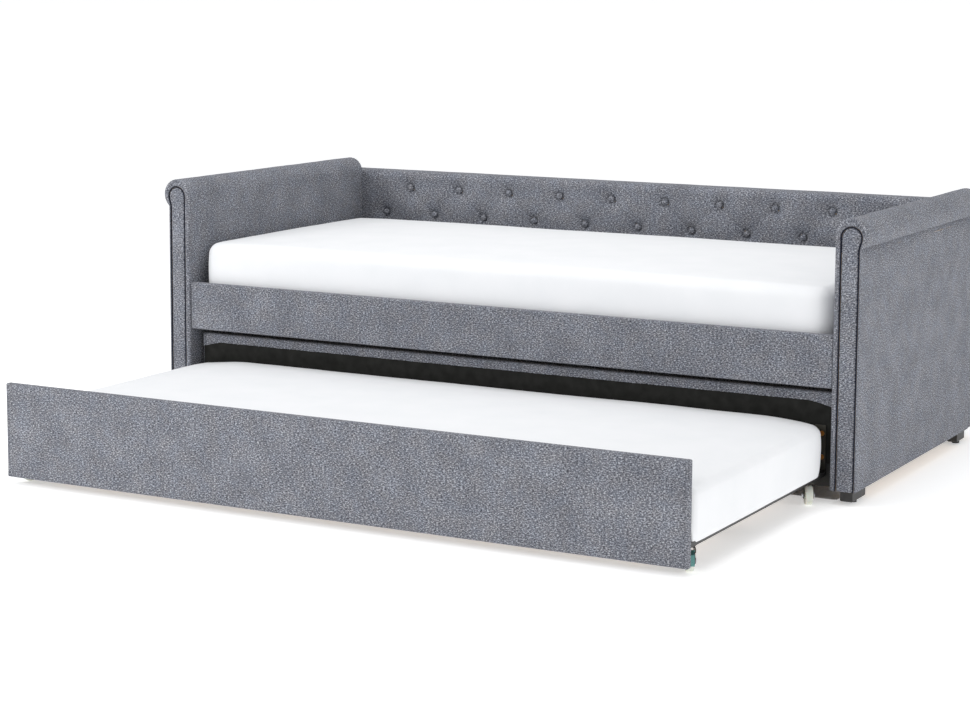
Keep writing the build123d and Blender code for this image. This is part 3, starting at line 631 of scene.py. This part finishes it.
def make_trundle_front():
    """The trundle's front board in its cloth, and the lining on its inner side."""
    lo, hi = low("trundle_front_cover"), high("trundle_front_cover")
    hi[1] -= 0.35 * mm
    ends = (lo[0] + 9 * mm, hi[0] - 9 * mm)
    board = wrapped_board("trundle_front_upholstery", lo, hi, 4 * mm, 5.0, seams=ends)
    settle(board, "trundle", FABRIC, ["trundle_front_cover"])
    lo, hi = low("trundle_front_lining"), high("trundle_front_lining")
    lo[1] = hi[1] - 1.2 * mm
    lining = rounded_box("trundle_front_inner_lining", lo, hi, 0.5 * mm, 40 * mm)
    settle(lining, "trundle", LINING, ["trundle_front_lining"])


def make_trundle_rear():
    """The trundle's rear board in its cloth, the lining on its inner side, and its turned edge."""
    lo, hi = low("trundle_rear_cover"), high("trundle_rear_cover")
    face = lo[1]
    lo[1] += 1.2 * mm
    board = wrapped_board("trundle_rear_upholstery", lo, hi, 4 * mm, 7.0)
    settle(board, "trundle", FABRIC, ["trundle_rear_cover"])
    lining_lo, lining_hi = low("trundle_rear_lining"), high("trundle_rear_lining")
    fold = lining_hi[2]
    lining_lo[1] = face + 0.6 * mm
    lining_hi[1] = face + 1.6 * mm
    lining_hi[2] += 4 * mm
    lining = rounded_box("trundle_rear_inner_lining", lining_lo, lining_hi, 0.4 * mm, 40 * mm)
    settle(lining, "trundle", LINING, ["trundle_rear_lining"])
    make_turned_edge(face, hi[0], hi[2], fold)


def make_turned_edge(face, half, top, fold):
    """The cloth turned over the rear board's top edge, mitred at both ends, on its lining.
    half is half the board's length, and fold the height of the cloth's lower edge."""
    mitre_run, mitre_drop = 55 * mm, 14 * mm
    mitre_start = half - 5 * mm - mitre_run
    xs = np.linspace(-half + 2 * mm, half - 2 * mm, 260)
    out = np.abs(xs)
    lower = fold - mitre_drop * np.clip((out - mitre_start) / mitre_run, 0, 1)
    lower += np.array([0.7 * mm * wobble((x, 0, 0), 0.05, 2.2) for x in xs])
    rows = []
    for part in np.linspace(0, 1, 9):
        z = lower + (top - 3 * mm - lower) * part
        puff = 0.8 * mm * math.sin(math.pi * min(part * 1.6, 0.5))
        crease = 0.9 * mm * np.exp(-((out - mitre_start - mitre_run * part) / (3 * mm)) ** 2)
        rows.append(np.column_stack([xs, face + 0.7 * mm - puff - crease, z]))
    under = rows[0].copy()
    under[:, 1] = face + 1.4 * mm
    rows = np.array([under] + rows)
    uv = np.stack([rows[..., 0], rows[..., 2]], axis=-1)
    settle(grid_object("trundle_rear_turned_edge", rows, uv), "trundle", FABRIC)


# ---- backrest -------------------------------------------------------------------------------
def button_centres():
    """Button places, lower row and upper row, from the buttons' box and their staggered pattern."""
    lo, hi = low("backrest_buttons") + BUTTON_R, high("backrest_buttons") - BUTTON_R
    lower = [(x, lo[2]) for x in np.linspace(lo[0], hi[0], LOW_BUTTONS)]
    pitch = lower[1][0] - lower[0][0]
    upper = [(x + pitch / 2, hi[2]) for x, _ in lower[:-1]]
    return lower, upper, pitch


def tuft_depth(x, z, lower, upper, pitch):
    """How far the cloth is drawn in: a cup at each button, deepest round its rim, and folds."""
    depth = np.zeros_like(x)
    folds = np.zeros_like(x)
    for bx, bz in lower + upper:
        away = np.hypot(x - bx, z - bz)
        cup = 7.5 * mm * np.exp(-(away / (20 * mm)) ** 2)
        hollow = 7.0 * mm * np.exp(-(away / (46 * mm)) ** 2)
        rim = 4.5 * mm * np.exp(-((away - 12.4 * mm) / (2.6 * mm)) ** 2)
        depth += cup + hollow + rim
    for ax, az in lower:
        for bx, bz in upper:
            if abs(ax - bx) > pitch * 0.6:
                continue
            dx, dz = bx - ax, bz - az
            length = math.hypot(dx, dz)
            part = np.clip(((x - ax) * dx + (z - az) * dz) / length ** 2, 0, 1)
            off = np.hypot(x - ax - part * dx, z - az - part * dz)
            side = 1.0 if bx < ax else 0.45   # the folds down to the right are the stronger ones
            strong = side * (0.45 + 0.55 * np.cos(math.pi * part) ** 2)
            folds = np.maximum(folds, 6.0 * mm * strong * np.exp(-off / (4 * mm)))
    return depth + folds


def make_backrest():
    """The tufted pad, its folded ends and its buttons."""
    lo, hi = low("backrest_pad"), high("backrest_pad")
    lower, upper, pitch = button_centres()
    face = lo[1]
    step = 3.2 * mm
    radius = 9 * mm
    tuft_bottom = 0.50                        # the mattress hides what is below
    columns = round((hi[0] - lo[0] - 2 * radius) / step) + 1
    across = np.linspace(lo[0] + radius, hi[0] - radius, columns)
    # one column of heights: up the front, over the rounded top edge and back to the rear seam
    profile = [(face, lo[2])]
    profile += [(face, z) for z in np.linspace(lo[2] + 20 * mm, tuft_bottom, 24)]
    profile += [(face, z) for z in np.linspace(tuft_bottom + 3 * mm, hi[2] - radius, 66)]
    for k in range(1, 7):
        turn = math.radians(90) * k / 6
        profile.append((face + radius * (1 - math.cos(turn)), hi[2] - radius + radius * math.sin(turn)))
    profile += [(y, hi[2]) for y in np.linspace(face + 18 * mm, hi[1] - 4 * mm, 6)]
    profile += [(hi[1] - 1 * mm, hi[2] - 1.2 * mm), (hi[1], hi[2] - 5 * mm)]
    profile = np.array(profile)
    rows = np.zeros((len(profile), len(across), 3))
    rows[..., 0] = across[None]
    rows[..., 1] = profile[:, None, 0]
    rows[..., 2] = profile[:, None, 1]
    depth = tuft_depth(rows[..., 0], rows[..., 2], lower, upper, pitch)
    window = smooth_step(rows[..., 2], tuft_bottom - 30 * mm, tuft_bottom + 50 * mm)
    window *= 1 - smooth_step(rows[..., 2], hi[2] - 20 * mm, hi[2] - 2 * mm)
    crown = 6.0 * mm * window * (1 - smooth_step(np.abs(rows[..., 0]), HX - 40 * mm, HX))
    on_front = (profile[:, 0] <= face + 1e-6)[:, None]
    rows[..., 1] += np.where(on_front, depth * window - crown, 0)
    for r in range(rows.shape[0]):
        for c in range(rows.shape[1]):
            point = rows[r, c]
            if on_front[r, 0]:
                point[1] += window[r, c] * 0.9 * mm * wobble(point, 0.09, 6.0)
            else:
                point[2] += 0.8 * mm * (wobble(point, 0.14, 9.0) - 1) * (profile[r, 0] < hi[1] - 2 * mm)
    run = lengths(profile)
    uv = np.stack(np.broadcast_arrays(across[None], run[:, None]), axis=-1)
    pad = grid_object("backrest_tufted_pad", rows, uv, flip=True)
    settle(pad, "daybed", FABRIC, ["backrest_pad"])
    # folded ends beyond the arms
    for sign, word in ((1, "right"), (-1, "left")):
        x0, x1 = sorted((sign * (hi[0] - 11 * mm), sign * hi[0]))
        end = rounded_box(f"backrest_{word}_end", (x0, face, lo[2]), (x1, hi[1], hi[2]), 5 * mm, 24 * mm)
        settle(end, "daybed", FABRIC)
    make_buttons(lower + upper, face)


def make_buttons(buttons, face):
    """Covered buttons: domed, with small gathers where the cloth is drawn round the rim.
    Each ring is a share of the radius and a height in mm."""
    rings = [(0.0, 4.6), (0.25, 4.3), (0.5, 3.5), (0.72, 2.2), (0.88, 0.5), (0.97, -1.5), (1.0, -3.6),
             (0.95, -5.6), (0.85, -8.0)]
    sides = 24
    radius = BUTTON_R - 0.1 * mm
    turn = np.linspace(0, math.tau, sides, endpoint=False)
    verts, faces, uvs = [], [], []
    for bx, bz in buttons:
        start = len(verts)
        for part, rise in rings:
            gather = 1 + 0.02 * np.cos(turn * 9) * part ** 4
            x = bx + radius * part * gather * np.cos(turn)
            z = bz + radius * part * gather * np.sin(turn)
            y = np.full(sides, face + 1.0 * mm - rise * mm)
            verts += list(np.column_stack([x, y, z]))
        for r in range(len(rings) - 1):
            for s in range(sides):
                s2 = (s + 1) % sides
                quad = [start + r * sides + s, start + r * sides + s2,
                        start + (r + 1) * sides + s2, start + (r + 1) * sides + s]
                faces.append(quad)
                uvs += [(verts[i][0], verts[i][2]) for i in quad]
    obj = mesh_object("backrest_tufting_buttons", verts, faces, uvs)
    settle(obj, "daybed", FABRIC, ["backrest_buttons"])


def make_rear_cover():
    """Plain cloth over the back of the backrest."""
    lo, hi = low("backrest_rear_cover"), high("backrest_rear_cover")
    cover = wrapped_board("backrest_rear_panel", lo + np.array([2 * mm, 0, 0]),
                          hi - np.array([2 * mm, 0, 1.5 * mm]), 2.4 * mm, 11.0, step=28 * mm)
    settle(cover, "daybed", FABRIC, ["backrest_rear_cover"])


# ---- mattresses -----------------------------------------------------------------------------
def round_corners(verts, centre, half, corner, edge):
    """Moves points in plan so that the upright edges get a larger radius than they have. Each
    point of a corner moves along its ray from the centre of the new round."""
    flat = np.abs(verts[:, :2] - centre[:2]) - (half[:2] - corner[:, None])
    both = (flat > 0).all(axis=1)
    reach = np.maximum(np.hypot(flat[:, 0], flat[:, 1]), 1e-9)
    c, s = np.abs(flat[:, 0]) / reach, np.abs(flat[:, 1]) / reach
    inner = corner - edge
    on_side = corner / np.maximum(np.maximum(c, s), 1e-9)
    on_arc = inner * (c + s) + np.sqrt(np.maximum(inner ** 2 * (2 * c * s - 1) + edge ** 2, 0))
    old_reach = np.where(on_side * np.minimum(c, s) <= inner, on_side, on_arc)
    flat = flat * (corner / old_reach)[:, None]
    sign = np.sign(verts[:, :2] - centre[:2])
    moved = centre[:2] + sign * ((half[:2] - corner[:, None]) + flat)
    verts[:, :2] = np.where(both[:, None], moved, verts[:, :2])


def overhang(verts, centre, half, floor, radius, drop):
    """Lets the lower edge at both ends hang down over what the mattress lies on."""
    out = np.abs(verts[:, 0] - centre[0])
    along = out - (half[0] - radius)
    up = verts[:, 2] - floor
    low_edge = (along > -1e-6) & (up < radius + 1e-6)
    turn = np.degrees(np.arctan2(along, radius - up))
    across = np.interp(turn, [0, 25, 45, 60, 75, 90], [0.0, 0.62, 0.86, 0.93, 1.0, 1.06]) * radius
    height = np.interp(turn, [0, 25, 45, 60, 75, 90], [0.0, 0.0, -0.6 * drop / radius, -drop / radius,
                                                      -0.7 * drop / radius, 0.5]) * radius
    new_x = centre[0] + np.sign(verts[:, 0] - centre[0]) * (half[0] - radius + across)
    verts[:, 0] = np.where(low_edge, new_x, verts[:, 0])
    verts[:, 2] = np.where(low_edge, floor + height, verts[:, 2])


def make_mattress(name, node, body, corners, edge, crown, end_sag, drop, seed):
    """A foam mattress in a smooth cover: crowned top, swelling sides, soft edges and corners.
    corners holds the radius in plan of the front corners and of the rear ones."""
    lo, hi = low(node), high(node)
    centre = (lo + hi) / 2
    half = (hi - lo) / 2

    def shape(verts):
        out = verts.copy()
        if drop:
            overhang(out, centre, half, lo[2], edge, drop)
        corner = np.where(out[:, 1] < centre[1], corners[0], corners[1])
        round_corners(out, centre, half, corner, edge)
        u = (out[:, 0] - centre[0]) / half[0]
        v = (out[:, 1] - centre[1]) / half[1]
        w = np.clip((out[:, 2] - centre[2]) / half[2], -1, 1)
        top = np.clip(w, 0, 1)
        dome = (1 - np.abs(u) ** 4) * (1 - np.abs(v) ** 4)
        out[:, 2] += crown * (dome - 0.35) * top
        out[:, 2] -= end_sag * smooth_step(np.abs(u), 0.82, 1.0) * top
        swell = 5 * mm * (1 - w ** 2) - 3 * mm
        out[:, 0] += np.sign(u) * np.abs(u) ** 8 * swell
        out[:, 1] += np.sign(v) * np.abs(v) ** 8 * swell
        for p in out:
            rise = np.clip((p[2] - lo[2]) / (hi[2] - lo[2]), 0, 1)
            p[2] += rise * (2.0 * mm * wobble(p, 0.35, seed) + 0.6 * mm * wobble(p, 0.09, seed + 3))
            p[0] += 1.2 * mm * wobble(p, 0.18, seed + 5)
        return out

    obj = rounded_box(name, lo, hi, edge, 18 * mm, shape)
    smooth = obj.modifiers.new("smooth", "SUBSURF")
    smooth.levels = 1
    smooth.render_levels = 1
    settle(obj, body, KNIT, [node])


def make_mattresses():
    make_mattress("upper_mattress", "bed_mattress", "daybed", (60 * mm, 60 * mm), 34 * mm, 9 * mm,
                  2 * mm, 0, 1.0)
    make_mattress("trundle_mattress_cover", "trundle_mattress", "trundle", (34 * mm, 72 * mm), 24 * mm,
                  7 * mm, 11 * mm, 7 * mm, 4.0)


# ---- stage ----------------------------------------------------------------------------------
def make_stage():
    """A wide white floor that glows a little, as a lit studio sweep does, and an even white sky.
    The floor right under the daybed doesn't glow, so that the bed's shade stays dark there."""
    reach = 400
    xs = (-reach, -HX, HX, reach)
    ys = (-reach, ARM_FRONT + 60 * mm, ARM_BACK, reach)
    verts = [(x, y, 0) for y in ys for x in xs]
    faces = [(4 * j + i, 4 * j + i + 1, 4 * j + i + 5, 4 * j + i + 4) for j in range(3) for i in range(3)]
    floor = mesh_object("studio_floor", verts, faces)
    pale, paler = (0.93, 0.93, 0.93, 1), (0.95, 0.95, 0.95, 1)
    floor.data.materials.append(speckled("studio_floor", pale, paler, 0.9, 3.0, 0.02,
                                         Emission_Color=(1.0, 1.0, 1.0, 1), Emission_Strength=0.40,
                                         Specular_IOR_Level=0.1))
    floor.data.materials.append(speckled("studio_floor_under_bed", pale, paler, 0.9, 3.0, 0.02,
                                         Specular_IOR_Level=0.1))
    under_bed = 4                             # the middle one of the nine faces
    floor.data.polygons[under_bed].material_index = 1
    world = bpy.data.worlds.new("studio")
    bpy.context.scene.world = world
    world.use_nodes = True
    world.node_tree.nodes["Background"].inputs["Color"].default_value = (0.98, 0.99, 1.0, 1)
    world.node_tree.nodes["Background"].inputs["Strength"].default_value = 0.66


def area_light(name, place, target, size, power):
    light = bpy.data.lights.new(name, "AREA")
    light.shape = "RECTANGLE"
    light.size, light.size_y = size
    light.energy = power
    obj = bpy.data.objects.new(name, light)
    obj.location = place
    obj.rotation_euler = (Vector(target) - Vector(place)).to_track_quat("-Z", "Y").to_euler()
    bpy.context.scene.collection.objects.link(obj)


def make_lights():
    """Soft light from the left front and from above, and a weak one from the right."""
    area_light("left_front_softbox", (-3.0, -4.4, 2.2), (-0.3, 0.0, 0.4), (2.0, 1.6), 92)
    area_light("right_side_softbox", (4.6, -0.4, 0.90), (1.1, 0.3, 0.4), (1.8, 0.9), 24)
    area_light("top_softbox", (0.0, -0.2, 4.0), (0, 0.1, 0.3), (3.0, 2.2), 60)


def make_camera():
    """A long lens in front and to the right, well above the arms, tilted a little down."""
    data = bpy.data.cameras.new("studio_camera")
    data.sensor_width = 36.0
    data.lens = 85.9
    data.shift_y = -0.10
    data.clip_end = 200.0
    camera = bpy.data.objects.new("studio_camera", data)
    turn = (Matrix.Rotation(math.radians(28.39), 4, "Z") @ Matrix.Rotation(math.radians(90 - 7.25), 4, "X")
            @ Matrix.Rotation(math.radians(0.33), 4, "Z"))
    camera.matrix_world = Matrix.Translation((3.049, -5.656 + ARM_FRONT, 1.378)) @ turn
    bpy.context.scene.collection.objects.link(camera)
    bpy.context.scene.camera = camera
    bpy.context.scene.view_settings.view_transform = "Standard"


make_camera()
dress_arms()
make_rail()
make_backrest()
make_rear_cover()
make_trundle_front()
make_trundle_rear()
make_mattresses()
make_stage()
make_lights()
